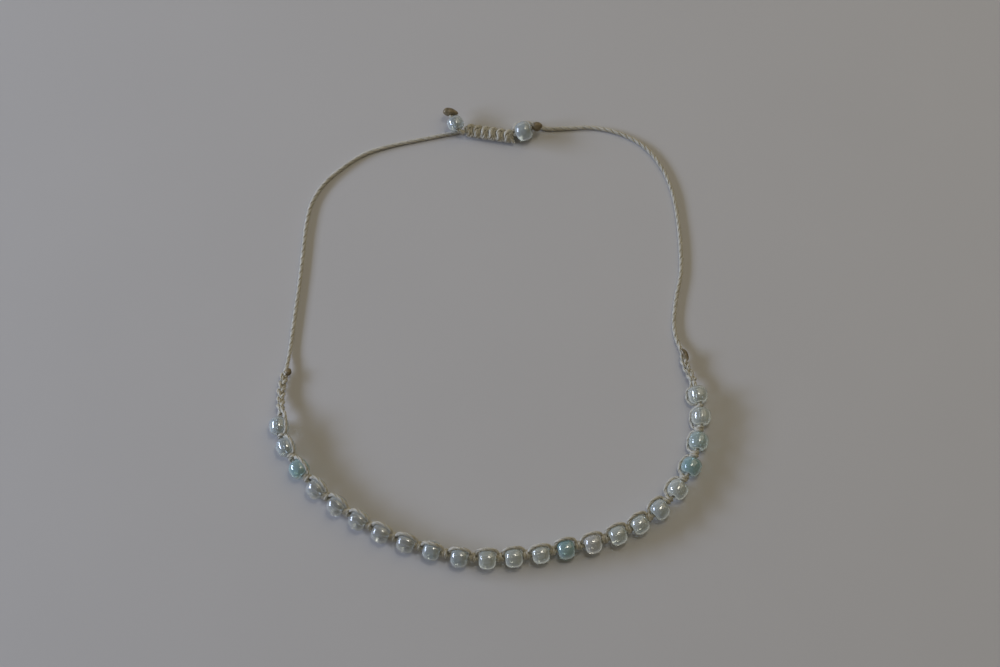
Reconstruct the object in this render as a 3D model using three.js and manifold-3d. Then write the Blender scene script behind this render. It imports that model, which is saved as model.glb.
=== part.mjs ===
// Beaded bracelet with a sliding knot, lying opened out on a table.
// Millimetres, +Z up. The origin is on the table, under the middle of the bracelet's box.
// Seen from above, the beads run along the near side of the loop (-Y), from its left end to
// its right end, and the sliding knot is at the far side (+Y).
import * as THREE from "three";
import { mergeVertices } from "three/addons/utils/BufferGeometryUtils.js";
import Module from "manifold-3d";

// Driving dimensions

// Clearance between pieces that touch on the real bracelet
const GAP = 0.3;

// Shift of all routes below that brings the middle of the bracelet over the origin
const SHIFT = [-0.15, 0.33];

// Cord of two twisted plies, made here as a plain tube. Inside the string it has fewer sides.
const CORD = { diameter: 0.85, sides: 8, stringSides: 6 };

// Drilled glass bead: a barrel with flat ends and rounded shoulders
const BEAD = {
  diameter: 4.0,
  length: 3.4,
  hole: 1.6,
  bandLength: 1.2,
  shoulderDiameter: 3.44,
  shoulderLength: 2.6,
  endDiameter: 2.3,
  sides: 12,
};

// The string of beads: a knot stands between each two beads, and the second strand passes
// every bead on its inner side or over its top
const STRING = { beads: 23, firstBead: 2.8 };

// Distance from a bead to the next. The knots are tied by hand, some of them tighter.
const PITCH = [
  { bead: 0, value: 4.55 },
  { bead: 1, value: 4.55 },
  { bead: 2, value: 5.3 },
  { bead: 4, value: 5.3 },
  { bead: 5, value: 5.15 },
  { bead: 6, value: 5.1 },
  { bead: 7, value: 5.25 },
  { bead: 8, value: 5.2 },
  { bead: 9, value: 5.5 },
  { bead: 10, value: 5.35 },
  { bead: 11, value: 5.1 },
  { bead: 12, value: 5.2 },
  { bead: 13, value: 4.95 },
  { bead: 14, value: 5.3 },
  { bead: 15, value: 5.1 },
  { bead: 16, value: 4.8 },
  { bead: 17, value: 4.95 },
  { bead: 18, value: 5.45 },
  { bead: 20, value: 5.45 },
  { bead: 21, value: 5.15 },
  { bead: 22, value: 4.55 },
  { bead: 23, value: 4.55 },
];

// Knot between two beads: two turns of the cord, side by side
const TURN = { diameter: 2.1, waist: 1.7, ends: 1.5, offset: 0.5, sides: 8 };

// The strand that passes a bead, as distances along the bead and out from its axis
const ARCH = [
  { along: -2.3, out: 1.4 },
  { along: -2.08, out: 1.98 },
  { along: -1.22, out: 2.62 },
  { along: 0, out: 2.78 },
  { along: 1.22, out: 2.62 },
  { along: 2.08, out: 1.98 },
  { along: 2.3, out: 1.4 },
];
const ARCH_STEPS = 6;

// How far the passing strand has rolled up over the beads: 0 is level with the bead's axis on
// the inner side, 90 is on top
const ROLL = [
  { bead: 1, value: 60 },
  { bead: 2, value: 66 },
  { bead: 9, value: 68 },
  { bead: 11, value: 50 },
  { bead: 12, value: 48 },
  { bead: 13, value: 70 },
  { bead: 14, value: 40 },
  { bead: 16, value: 52 },
  { bead: 18, value: 44 },
  { bead: 21, value: 46 },
  { bead: 22, value: 22 },
  { bead: 23, value: 38 },
];

// Braid at each end of the string: lobes of cord that lie by turns left and right
const LOBE = { diameter: 1.42, length: 1.7, ends: 0.8, spacing: 1.1, sideways: 0.32, lean: 24, sides: 7 };

// Melted cut end of the second strand, at the top of each braid
const CUT_END = { diameter: 1.3, length: 1.9, ends: 0.7, rise: 0.35, steepness: 1.6 };

// Sliding knot: a row of square knots round both cords
const SLIDE = { length: 9.8, width: 2.9, thickness: 2.3, knots: 6, grooveShare: 0.8, endShare: 0.62, sides: 12 };

// Melted knot behind each stopper bead
const MELT = { diameter: 1.8, ends: 0.9, sides: 10 };

// Routes. Points are [x, y] or [x, y, z].

// Axis of the beads, from before the first to past the last
const BEAD_ROUTE = [
  [-41.9, -17.7],
  [-41.2, -20.5],
  [-39.75, -24.75],
  [-36.95, -29.35],
  [-33.45, -33.3],
  [-29.4, -36.7],
  [-20.75, -42.15],
  [-10.95, -45.65],
  [-5.7, -46.95],
  [-0.4, -47.35],
  [4.7, -47.05],
  [14.7, -45.4],
  [20.0, -44.25],
  [24.7, -42.6],
  [29.0, -40.45],
  [33.0, -37.5],
  [36.55, -33.45],
  [39.35, -28.8],
  [40.95, -23.6],
  [41.6, -18.5],
  [41.15, -14.0],
  [40.3, -11.2],
];

// Axis of each braid, from the bead to the top
const LEFT_BRAID_ROUTE = [
  [-40.95, -17.25, 2.15],
  [-41.1, -15.5, 1.6],
  [-41.1, -12.6, 1.15],
  [-40.5, -8.9, 1.1],
];
const RIGHT_BRAID_ROUTE = [
  [40.3, -10.9, 1.75],
  [39.7, -9.35, 1.35],
  [38.95, -7.5, 1.15],
  [38.4, -5.4, 1.1],
];

// Plain cords, from the top of a braid to the sliding knot. They lie on the table.
const LEFT_CORD_ROUTE = [
  [-40.2, -7.5, 1.0],
  [-39.8, -4.6, 0.6],
  [-39.4, -0.6, 0.47],
  [-38.9, 4.6, 0.47],
  [-38.3, 10.5, 0.47],
  [-37.8, 16.8, 0.47],
  [-37.3, 23.2, 0.47],
  [-36.3, 28.2, 0.47],
  [-33.9, 32.5, 0.47],
  [-30.2, 36.1, 0.47],
  [-25.6, 39.3, 0.47],
  [-20.4, 41.1, 0.47],
  [-14.8, 42.4, 0.47],
  [-9.8, 43.5, 0.47],
  [-7.3, 44.05, 0.47],
  [-5.6, 44.35, 0.5],
];
const RIGHT_CORD_ROUTE = [
  [38.1, -4.0, 1.0],
  [37.3, -1.6, 0.6],
  [36.9, 1.8, 0.47],
  [37.5, 7.2, 0.47],
  [38.6, 12.8, 0.47],
  [38.7, 18.0, 0.47],
  [38.3, 24.4, 0.47],
  [37.4, 30.4, 0.47],
  [35.4, 36.0, 0.47],
  [31.8, 40.9, 0.47],
  [27.0, 43.8, 0.47],
  [21.4, 45.2, 0.47],
  [15.8, 45.1, 0.47],
  [11.4, 45.0, 0.47],
  [8.6, 46.1, 0.47],
  [6.5, 46.35, 0.47],
  [5.2, 45.5, 0.5],
  [4.95, 44.5, 0.5],
];
const CORD_STEP = 2.3;
const STRAND_STEPS = 6;

// Middle of the sliding knot's two ends
const SLIDE_LEFT = [-5.0, 44.35, 1.2];
const SLIDE_RIGHT = [4.7, 42.75, 1.2];

// Stopper beads: the bead's middle, its size, the way that its hole points from the sliding
// knot, in degrees, where the cord through it leaves the knot, and how its melted end lies
const STOPPERS = {
  left: {
    middle: [-7.1, 45.1, 2.62],
    diameter: 3.4,
    heading: 118,
    rise: 4,
    from: [-5.3, 43.3, 1.9],
    melt: { length: 2.4, heading: 172 },
  },
  right: {
    middle: [7.0, 43.6, 2.2],
    diameter: 4.1,
    heading: 15,
    rise: 16,
    from: [5.2, 42.75, 1.6],
    melt: { length: 2.0, heading: 10 },
  },
};

// Materials

const glass = new THREE.MeshStandardMaterial({ color: 0xa9bcb9, roughness: 0.12, metalness: 0 });
const cordFabric = new THREE.MeshStandardMaterial({ color: 0xb9b0a0, roughness: 0.8, metalness: 0 });
const melted = new THREE.MeshStandardMaterial({ color: 0x57442f, roughness: 0.45, metalness: 0 });

// Solids

const wasm = await Module();
wasm.setup();

// A closed solid from a geometry: shared corners joined, and triangles with no area left out
function toSolid(geometry) {
  const bare = geometry.clone();
  bare.deleteAttribute("normal");
  bare.deleteAttribute("uv");
  const merged = mergeVertices(bare, 1e-4);
  const index = merged.getIndex().array;
  const triangles = [];
  for (let k = 0; k < index.length; k += 3) {
    const [a, b, c] = [index[k], index[k + 1], index[k + 2]];
    if (a !== b && b !== c && c !== a) {
      triangles.push(a, b, c);
    }
  }
  const vertProperties = new Float32Array(merged.getAttribute("position").array);
  return new wasm.Manifold(new wasm.Mesh({ numProp: 3, vertProperties, triVerts: new Uint32Array(triangles) }));
}

function toGeometry(solid) {
  const mesh = solid.getMesh();
  const geometry = new THREE.BufferGeometry();
  geometry.setAttribute("position", new THREE.BufferAttribute(mesh.vertProperties, 3));
  geometry.setIndex(new THREE.BufferAttribute(mesh.triVerts, 1));
  geometry.computeVertexNormals();
  return geometry;
}

function fuse(geometries) {
  const solids = geometries.map(toSolid);
  return toGeometry(solids.reduce((whole, solid) => whole.add(solid)));
}

// A turned piece along +X from rows of { along, diameter }, closed at both ends
function turned(rows, sides) {
  const profile = rows.map((row) => new THREE.Vector2(row.diameter / 2, row.along));
  const first = new THREE.Vector2(0, rows[0].along);
  const last = new THREE.Vector2(0, rows[rows.length - 1].along);
  const geometry = new THREE.LatheGeometry([first, ...profile, last], sides, Math.PI / sides);
  return geometry.rotateZ(-Math.PI / 2);
}

// A short barrel along +X
function barrel(size, sides) {
  const half = size.length / 2;
  return turned([
    { along: -half, diameter: size.ends },
    { along: -half / 2.4, diameter: size.diameter },
    { along: half / 2.4, diameter: size.diameter },
    { along: half, diameter: size.ends },
  ], sides);
}

// A tube along a curve, its section a regular polygon
function tube(curve, steps, sides) {
  const radius = CORD.diameter / 2;
  const section = new THREE.Shape();
  for (let k = 0; k < sides; k += 1) {
    const angle = ((k + 0.5) / sides) * 2 * Math.PI;
    const point = [radius * Math.cos(angle), radius * Math.sin(angle)];
    if (k === 0) {
      section.moveTo(...point);
    } else {
      section.lineTo(...point);
    }
  }
  section.closePath();
  return new THREE.ExtrudeGeometry(section, { steps, bevelEnabled: false, extrudePath: curve });
}

// The turn that points +X along a direction and keeps +Z as near to up as it can
function turnTo(direction) {
  const along = direction.clone().normalize();
  const side = new THREE.Vector3(0, 0, 1).cross(along).normalize();
  return new THREE.Matrix4().makeBasis(along, side, along.clone().cross(side));
}

// Turns a piece that lies along +X at the origin to point along a direction, and moves it there
function place(geometry, middle, direction) {
  return geometry.applyMatrix4(turnTo(direction).setPosition(middle));
}

// Routes as curves

function smooth(points) {
  const corners = points.map((point) => (point.isVector3 ? point : new THREE.Vector3(...point)));
  const curve = new THREE.CatmullRomCurve3(corners, false, "centripetal");
  curve.arcLengthDivisions = 600;
  return curve;
}

// A value read from a table of { bead, value } rows, in proportion between two of them
function tableValue(table, bead) {
  const next = Math.max(1, table.findIndex((row) => row.bead >= bead));
  const [low, high] = [table[next - 1], table[next]];
  return low.value + ((bead - low.bead) / (high.bead - low.bead)) * (high.value - low.value);
}

const beadAxisHeight = (BEAD.diameter / 2) * Math.cos(Math.PI / BEAD.sides);
const beadCurve = smooth(BEAD_ROUTE.map(([x, y]) => [x, y, beadAxisHeight]));
const beadCurveLength = beadCurve.getLength();

// The middle, the direction and the inward direction at a distance along the beads' axis
function station(distance) {
  const share = distance / beadCurveLength;
  const along = beadCurve.getTangentAt(share);
  const inward = new THREE.Vector3(-along.y, along.x, 0).normalize();
  return { middle: beadCurve.getPointAt(share), along, inward };
}

// Distance of a bead's middle along the axis. A half number is the knot after that bead.
function beadDistance(number) {
  const whole = Math.floor(number);
  let distance = STRING.firstBead - tableValue(PITCH, 0);
  for (let bead = 0; bead < whole; bead += 1) {
    distance += tableValue(PITCH, bead);
  }
  return distance + (number - whole) * tableValue(PITCH, whole);
}

const rollAt = (number) => THREE.MathUtils.degToRad(tableValue(ROLL, number));

// A direction from the beads' axis, rolled up from inward
function outward(inward, roll) {
  const up = new THREE.Vector3(0, 0, Math.sin(roll));
  return inward.clone().multiplyScalar(Math.cos(roll)).add(up);
}

// Pieces

function beadGeometry(diameter) {
  const scale = diameter / BEAD.diameter;
  const [end, shoulder, band] = [BEAD.length, BEAD.shoulderLength, BEAD.bandLength].map((d) => d / 2);
  const hole = BEAD.hole / 2;
  const profile = [
    [hole, -end],
    [(BEAD.endDiameter / 2) * scale, -end],
    [(BEAD.shoulderDiameter / 2) * scale, -shoulder],
    [diameter / 2, -band],
    [diameter / 2, band],
    [(BEAD.shoulderDiameter / 2) * scale, shoulder],
    [(BEAD.endDiameter / 2) * scale, end],
    [hole, end],
    [hole, -end],
  ];
  const points = profile.map(([radius, along]) => new THREE.Vector2(radius, along));
  return new THREE.LatheGeometry(points, BEAD.sides, Math.PI / BEAD.sides).rotateZ(-Math.PI / 2);
}

function addMesh(group, name, geometry, material) {
  const mesh = new THREE.Mesh(geometry, material);
  mesh.name = name;
  group.add(mesh);
  return mesh;
}

function addBead(group, name, diameter, middle, along) {
  const mesh = addMesh(group, name, beadGeometry(diameter), glass);
  mesh.position.copy(middle);
  mesh.quaternion.setFromRotationMatrix(turnTo(along));
}

function addBeads(group) {
  for (let number = 1; number <= STRING.beads; number += 1) {
    const { middle, along } = station(beadDistance(number));
    const name = `bead_${String(number).padStart(2, "0")}`;
    addBead(group, name, BEAD.diameter, middle, along);
  }
}

// The knot after a bead, in the space that it and the next one leave
function knotGeometry(bead) {
  const number = bead + 0.5;
  const { middle, along, inward } = station(beadDistance(number));
  const half = (tableValue(PITCH, bead) - BEAD.length) / 2 - GAP;
  const turns = turned([
    { along: -half, diameter: TURN.ends },
    { along: -half / 2, diameter: TURN.diameter },
    { along: 0, diameter: TURN.waist },
    { along: half / 2, diameter: TURN.diameter },
    { along: half, diameter: TURN.ends },
  ], TURN.sides);
  const offset = outward(inward, rollAt(number)).multiplyScalar(TURN.offset);
  return place(turns, middle.clone().add(offset), along);
}

// The second strand where it passes one bead
function archGeometry(bead) {
  const points = ARCH.map(({ along, out }) => {
    const here = station(beadDistance(bead) + along);
    return here.middle.add(outward(here.inward, rollAt(bead)).multiplyScalar(out));
  });
  return tube(smooth(points), ARCH_STEPS, CORD.stringSides);
}

// The strand that every bead is threaded on, from the first knot to the last
function threadGeometry() {
  const steps = STRING.beads * 2;
  const points = [];
  for (let k = 0; k <= steps; k += 1) {
    points.push(station(beadDistance(0.5 + k / 2)).middle);
  }
  return tube(smooth(points), steps, CORD.stringSides);
}

// A braid, with the melted end of the second strand at its top
function braidGeometries(route, inwardSign) {
  const curve = smooth(route);
  const length = curve.getLength();
  const count = Math.round(length / LOBE.spacing);
  const pieces = [];
  for (let k = 0; k <= count; k += 1) {
    const middle = curve.getPointAt(k / count);
    const along = curve.getTangentAt(k / count);
    const side = new THREE.Vector3(0, 0, 1).cross(along).normalize();
    const hand = k % 2 === 0 ? 1 : -1;
    middle.addScaledVector(side, hand * LOBE.sideways);
    const lean = THREE.MathUtils.degToRad(LOBE.lean) * hand;
    const direction = along.clone().applyAxisAngle(new THREE.Vector3(0, 0, 1), -lean);
    pieces.push(place(barrel(LOBE, LOBE.sides), middle, direction));
  }
  const top = curve.getPointAt(1);
  const up = curve.getTangentAt(1);
  const inward = new THREE.Vector3(inwardSign, 0, 0);
  const end = top.clone().addScaledVector(inward, CUT_END.diameter / 2);
  end.z += CUT_END.rise;
  const direction = up.clone().multiplyScalar(CUT_END.steepness).add(inward);
  pieces.push(place(barrel(CUT_END, LOBE.sides), end, direction));
  return pieces;
}

function knottedCordGeometry() {
  const pieces = [threadGeometry()];
  for (let number = 1; number <= STRING.beads; number += 1) {
    pieces.push(archGeometry(number));
    if (number < STRING.beads) {
      pieces.push(knotGeometry(number));
    }
  }
  return fuse([...pieces, ...braidGeometries(LEFT_BRAID_ROUTE, 1), ...braidGeometries(RIGHT_BRAID_ROUTE, -1)]);
}

function plainCordGeometry(route) {
  const curve = smooth(route);
  return tube(curve, Math.round(curve.getLength() / CORD_STEP), CORD.sides);
}

// A row of square knots, wide and flat
function slideGeometry() {
  const from = new THREE.Vector3(...SLIDE_LEFT);
  const to = new THREE.Vector3(...SLIDE_RIGHT);
  const pitch = SLIDE.length / SLIDE.knots;
  const rows = [{ along: -SLIDE.length / 2, diameter: SLIDE.thickness * SLIDE.endShare }];
  for (let k = 0; k < SLIDE.knots; k += 1) {
    const middle = (k + 0.5) * pitch - SLIDE.length / 2;
    rows.push({ along: middle - pitch / 5, diameter: SLIDE.thickness });
    rows.push({ along: middle + pitch / 5, diameter: SLIDE.thickness });
    if (k < SLIDE.knots - 1) {
      rows.push({ along: middle + pitch / 2, diameter: SLIDE.thickness * SLIDE.grooveShare });
    }
  }
  rows.push({ along: SLIDE.length / 2, diameter: SLIDE.thickness * SLIDE.endShare });
  const row = turned(rows, SLIDE.sides).scale(1, SLIDE.width / SLIDE.thickness, 1);
  return place(row, from.clone().lerp(to, 0.5), to.clone().sub(from));
}

// A stopper bead with the cord end that holds it: a strand through the bead and a melted knot
function addStopper(group, side) {
  const { middle, diameter, heading, rise, from, melt } = STOPPERS[side];
  const [turn, tilt] = [heading, rise].map(THREE.MathUtils.degToRad);
  const level = new THREE.Vector3(Math.cos(turn), Math.sin(turn), 0).multiplyScalar(Math.cos(tilt));
  const direction = level.add(new THREE.Vector3(0, 0, Math.sin(tilt)));
  const centre = new THREE.Vector3(...middle);
  addBead(group, `stopper_bead_${side}`, diameter, centre, direction);
  const onAxis = (distance) => centre.clone().addScaledVector(direction, distance);
  const half = BEAD.length / 2;
  const knotMiddle = onAxis(half + GAP + MELT.diameter / 2);
  const strand = smooth([new THREE.Vector3(...from), onAxis(-half), onAxis(0), onAxis(half), knotMiddle]);
  const lie = THREE.MathUtils.degToRad(melt.heading);
  const long = new THREE.Vector3(Math.cos(lie), Math.sin(lie), 0);
  const knot = place(barrel({ ...MELT, length: melt.length }, MELT.sides), knotMiddle, long);
  addMesh(group, `end_knot_${side}`, fuse([tube(strand, STRAND_STEPS, CORD.sides), knot]), melted);
}

// Assembly

const bracelet = new THREE.Group();
bracelet.position.set(...SHIFT, 0);
addBeads(bracelet);
addMesh(bracelet, "knotted_cord", knottedCordGeometry(), cordFabric);
addMesh(bracelet, "side_cord_left", plainCordGeometry(LEFT_CORD_ROUTE), cordFabric);
addMesh(bracelet, "side_cord_right", plainCordGeometry(RIGHT_CORD_ROUTE), cordFabric);
addMesh(bracelet, "sliding_knot", slideGeometry(), cordFabric);
addStopper(bracelet, "left");
addStopper(bracelet, "right");

export default bracelet;
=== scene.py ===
"""Beaded bracelet with a sliding knot, dressed for rendering on a pale table.

Run it as a script in Blender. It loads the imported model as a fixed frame, lays twisted cord
along it, strings the glass beads and ties the knots, and sets the table, the light and the camera.
Every length is in metres, unless it says otherwise.
"""

import math
import random

import bpy
import numpy as np
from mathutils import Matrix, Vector


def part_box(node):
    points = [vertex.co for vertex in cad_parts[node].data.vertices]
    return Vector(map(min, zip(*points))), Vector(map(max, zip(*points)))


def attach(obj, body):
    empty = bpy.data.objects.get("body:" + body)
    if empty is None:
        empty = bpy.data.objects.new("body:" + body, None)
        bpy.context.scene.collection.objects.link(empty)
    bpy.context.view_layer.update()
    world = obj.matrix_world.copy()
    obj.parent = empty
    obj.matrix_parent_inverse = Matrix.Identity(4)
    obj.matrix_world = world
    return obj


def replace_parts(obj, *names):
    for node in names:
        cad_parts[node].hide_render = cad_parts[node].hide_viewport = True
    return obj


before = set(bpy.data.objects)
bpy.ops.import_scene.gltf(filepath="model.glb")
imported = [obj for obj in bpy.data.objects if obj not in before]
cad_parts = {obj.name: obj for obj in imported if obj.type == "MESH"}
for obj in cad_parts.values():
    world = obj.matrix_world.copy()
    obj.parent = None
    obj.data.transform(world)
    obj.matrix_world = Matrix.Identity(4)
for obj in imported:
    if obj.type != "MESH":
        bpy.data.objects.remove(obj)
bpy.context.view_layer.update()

bl_info = {
    "name": "Beaded bracelet",
    "version": (1, 0, 0),
    "blender": (4, 5, 0),
    "location": "3D View > Sidebar > Bracelet",
    "description": "Glass beads knotted on twisted cord, with a sliding knot",
    "category": "Add Mesh",
}

MM = 0.001
BODY = "root"
BEADS = sum(1 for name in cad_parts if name.startswith("bead_"))

# Shift of the routes below, as in the part's source
SHIFT = np.array([-0.00015, 0.00033, 0.0])

# Plain cords, from the top of a braid to the sliding knot
LEFT_CORD_ROUTE = [
    (-0.0402, -0.0075, 0.0010),
    (-0.0398, -0.0046, 0.0006),
    (-0.0394, -0.0006, 0.00047),
    (-0.0389, 0.0046, 0.00047),
    (-0.0383, 0.0105, 0.00047),
    (-0.0378, 0.0168, 0.00047),
    (-0.0373, 0.0232, 0.00047),
    (-0.0363, 0.0282, 0.00047),
    (-0.0339, 0.0325, 0.00047),
    (-0.0302, 0.0361, 0.00047),
    (-0.0256, 0.0393, 0.00047),
    (-0.0204, 0.0411, 0.00047),
    (-0.0148, 0.0424, 0.00047),
    (-0.0098, 0.0435, 0.00047),
    (-0.0073, 0.04405, 0.00047),
    (-0.0056, 0.04435, 0.0005),
]
RIGHT_CORD_ROUTE = [
    (0.0381, -0.0040, 0.0010),
    (0.0373, -0.0016, 0.0006),
    (0.0369, 0.0018, 0.00047),
    (0.0375, 0.0072, 0.00047),
    (0.0386, 0.0128, 0.00047),
    (0.0387, 0.0180, 0.00047),
    (0.0383, 0.0244, 0.00047),
    (0.0374, 0.0304, 0.00047),
    (0.0354, 0.0360, 0.00047),
    (0.0318, 0.0409, 0.00047),
    (0.0270, 0.0438, 0.00047),
    (0.0214, 0.0452, 0.00047),
    (0.0158, 0.0451, 0.00047),
    (0.0114, 0.0450, 0.00047),
    (0.0086, 0.0461, 0.00047),
    (0.0065, 0.04635, 0.00047),
    (0.0052, 0.0455, 0.0005),
    (0.00495, 0.0445, 0.0005),
]

# Braids, from the end bead to the top
LEFT_BRAID_ROUTE = [
    (-0.04095, -0.01725, 0.00215),
    (-0.0411, -0.0155, 0.0016),
    (-0.0411, -0.0126, 0.00115),
    (-0.0405, -0.0089, 0.0011),
]
RIGHT_BRAID_ROUTE = [
    (0.0403, -0.0109, 0.00175),
    (0.0397, -0.00935, 0.00135),
    (0.03895, -0.0075, 0.00115),
    (0.0384, -0.0054, 0.0011),
]

# Each braid: its route, its seed, and the melted end on its top: size and shift from the top in
# millimetres, and how far it leans to the right
BRAIDS = {
    "left": {"route": LEFT_BRAID_ROUTE, "seed": 41,
             "size": (1.6, 1.35, 1.2), "shift": (0.62, 0.0, 0.35), "lean": 0.3},
    "right": {"route": RIGHT_BRAID_ROUTE, "seed": 45,
              "size": (2.9, 1.25, 1.1), "shift": (0.32, 0.1, 0.5), "lean": -0.25},
}
# A full turn of the plait, how far its strands swing sideways and up, and the share of their
# thickness that they keep
PLAIT = {"period": 5.0 * MM, "wide": 0.52 * MM, "high": 0.36 * MM, "thickness": 0.86}

# Section of a ply, as shares of the cord's thickness: from the cord's middle to the ply's, and
# half of the ply outward and across
PLY = {"offset": 0.235, "outward": 0.265, "across": 0.43}
# Share by which the thickness wanders, and the length over which it does, in millimetres
WANDER = 0.02
WANDER_LENGTH = 1.7

# Middle of the sliding knot's two ends, and how far a side cord runs into it
SLIDE_LEFT = (-0.0050, 0.04435, 0.0012)
SLIDE_RIGHT = (0.0047, 0.04275, 0.0012)
SLIDE_REACH = 1.2 * MM

# The sliding knot, in millimetres: from its middle to a core cord, how far the core runs past its
# ends, where the tying cords start, how far they slant and how far they dip at the sides
SLIDE = {"core": 0.36, "past": 0.3, "start": 0.1, "slant": 0.52, "dip": 0.15}

# The two halves of a square knot. The first lies high and full, the second lower and thinner:
# share of the knot's half height, share added to the thickness, and how far it draws back in
# millimetres
HALF_KNOTS = [
    {"height": 1.10, "thicker": 0.08, "back": 0.0},
    {"height": 0.50, "thicker": -0.2, "back": 0.16},
]
# Share of that height which the layer next to the table keeps
LOWER_LAYER = 0.78

# Stopper beads: the way that the hole points, in degrees, where its cord leaves the knot, the
# bead's size, and the melted end: the way it lies, its length and how far it runs out to a point
# as a share of its size
STOPPERS = {
    "left": {"heading": 118, "rise": 4, "from": (-0.0053, 0.0433, 0.0019), "size": 0.85,
             "melt": {"heading": -10, "length": 0.0026, "point": 0.5, "seed": 81}},
    "right": {"heading": 15, "rise": 16, "from": (0.0052, 0.04275, 0.0016), "size": 1.025,
              "melt": {"heading": 10, "length": 0.0021, "point": 0.12, "seed": 84}},
}
# Melted ends behind the stopper beads: from the bead to the middle, and across
MELT_DISTANCE = 1.2 * MM
MELT_WIDTH, MELT_HEIGHT = 1.8 * MM, 1.7 * MM

# How far the passing strand has rolled up over the beads, as bead: degrees. 0 is level with the
# bead's axis on the inner side, and 90 is on top.
ROLL = {1: 54, 3: 56, 9: 66, 11: 50, 12: 48, 13: 66, 14: 40, 16: 50, 17: 38, 19: -4, 20: -20,
        22: -28, 23: -24}

# The passing strand over a bead: distances along the bead and out from its axis, as shares of
# the bead's radius
ARCH = [(-1.06, 0.50), (-1.0, 0.72), (-0.84, 0.93), (-0.52, 1.09), (0.0, 1.165),
        (0.52, 1.09), (0.84, 0.93), (1.0, 0.72), (1.06, 0.50)]

# The passing strand: the share of its thickness that it keeps over a bead and at its two ends, and
# where those ends are, along and out from the outer knots
PASSING_THICKNESS, END_THICKNESS = 0.81, 0.9
END_ALONG, END_OUT = 0.9 * MM, 0.3 * MM

# Knots between the beads: the gap that takes two turns, how far the first and last part of a
# knot rises, the least and most that a turn stands out, in millimetres, and the share of the
# advance that is made between the turns
TWO_TURNS_GAP = 1.35 * MM
END_RISE = 0.12 * MM
BULGE = (0.14, 0.26)
DWELL = 0.8

# Outline of a bead: where its curve would close, as a share of half its length, the power of the
# curve, and the roundness of its lip
BARREL = {"reach": 1.147, "power": 2.8, "lip": 0.3}

# Bumps on a melted lump: how many, how high as a share of its size, and how sharp they and its
# point are
BUMPS = {"count": 14, "height": 0.16, "sharp": 6, "point_sharp": 7}

# The tint of each bead. The others are pale.
TINTS = {1: "milky", 2: "milky", 3: "teal", 4: "clear", 5: "clear", 6: "clear", 7: "clear",
         8: "clear", 9: "milky", 10: "milky", 14: "teal", 15: "rose", 18: "grey", 20: "teal",
         21: "aqua"}

# Glass: first and second colour, how much light goes through, and the strength of its painted light: an
# emission that brightens a line inside its outline and, faintly, the whole bead
GLASS = {
    "pale": {"first": (0.66, 0.71, 0.67), "second": (0.79, 0.84, 0.80), "clear": 0.62, "painted_glow": 0.15},
    "clear": {"first": (0.72, 0.77, 0.77), "second": (0.84, 0.88, 0.88), "clear": 0.72, "painted_glow": 0.05},
    "milky": {"first": (0.60, 0.69, 0.71), "second": (0.72, 0.80, 0.82), "clear": 0.60, "painted_glow": 0.06},
    "aqua": {"first": (0.52, 0.69, 0.68), "second": (0.66, 0.80, 0.79), "clear": 0.58, "painted_glow": 0.12},
    "teal": {"first": (0.34, 0.57, 0.59), "second": (0.46, 0.67, 0.69), "clear": 0.52, "painted_glow": 0.08},
    "rose": {"first": (0.70, 0.70, 0.67), "second": (0.82, 0.81, 0.78), "clear": 0.62, "painted_glow": 0.15},
    "grey": {"first": (0.60, 0.67, 0.67), "second": (0.75, 0.81, 0.80), "clear": 0.60, "painted_glow": 0.12},
}
GLASS_INDEX = 1.4
LUSTRE_INDEX = 1.95
# Painted shade: the colour of a bead's hole wall, dark so that the cord inside looks shaded through the
# glass
HOLE_PAINTED_SHADE = (0.30, 0.29, 0.22, 1)
# Emission colours of the painted light: faint over the whole bead, and bright in the line inside its
# outline
PAINTED_BODY_GLOW = (0.12, 0.13, 0.125, 1)
PAINTED_RIM_LIGHT = (0.95, 1.0, 0.93, 1)
# Where the painted light line inside a bead's outline lies, by how far the glass turns away from the
# eye: where it starts, is full, begins to fade and has gone
PAINTED_RIM_SPAN = (0.33, 0.50, 0.60, 0.84)
# Value of a bead's UV map on the wall of its hole
HOLE_MARK = 100.0

# Lights: where each hangs and how large it is (metres), its power in watts and its colour. The
# window is on the left, a lamp on the ceiling and one on the right, and a pale wall behind.
LIGHTS = {
    "window_light": {"azimuth": 176, "elevation": 21, "size": (0.62, 0.20), "power": 6.1,
                     "colour": (0.63, 0.74, 1.0)},
    "ceiling_light": {"azimuth": 40, "elevation": 79, "size": (0.19, 0.18), "power": 0.86,
                      "colour": (1.0, 0.94, 0.80)},
    "lamp_light": {"azimuth": 40, "elevation": 52, "size": (0.80, 0.75), "power": 1.15,
                   "colour": (1.0, 0.90, 0.68)},
    "wall_light": {"azimuth": 90, "elevation": 12, "size": (1.6, 0.36), "power": 0.8,
                   "colour": (1.0, 0.95, 0.84)},
}
LIGHT_DISTANCE = 0.9

# Camera: what it looks at, how steeply and from how far, and its focal length in pixels of the
# frame's width
CAMERA = {"target": (0.00195, 0.00013, 0.0), "elevation": 69.0, "distance": 0.46,
          "focal_pixels": 2300.0}
FRAME_WIDTH_PIXELS = 1000
SENSOR_WIDTH = 36.0


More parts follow.
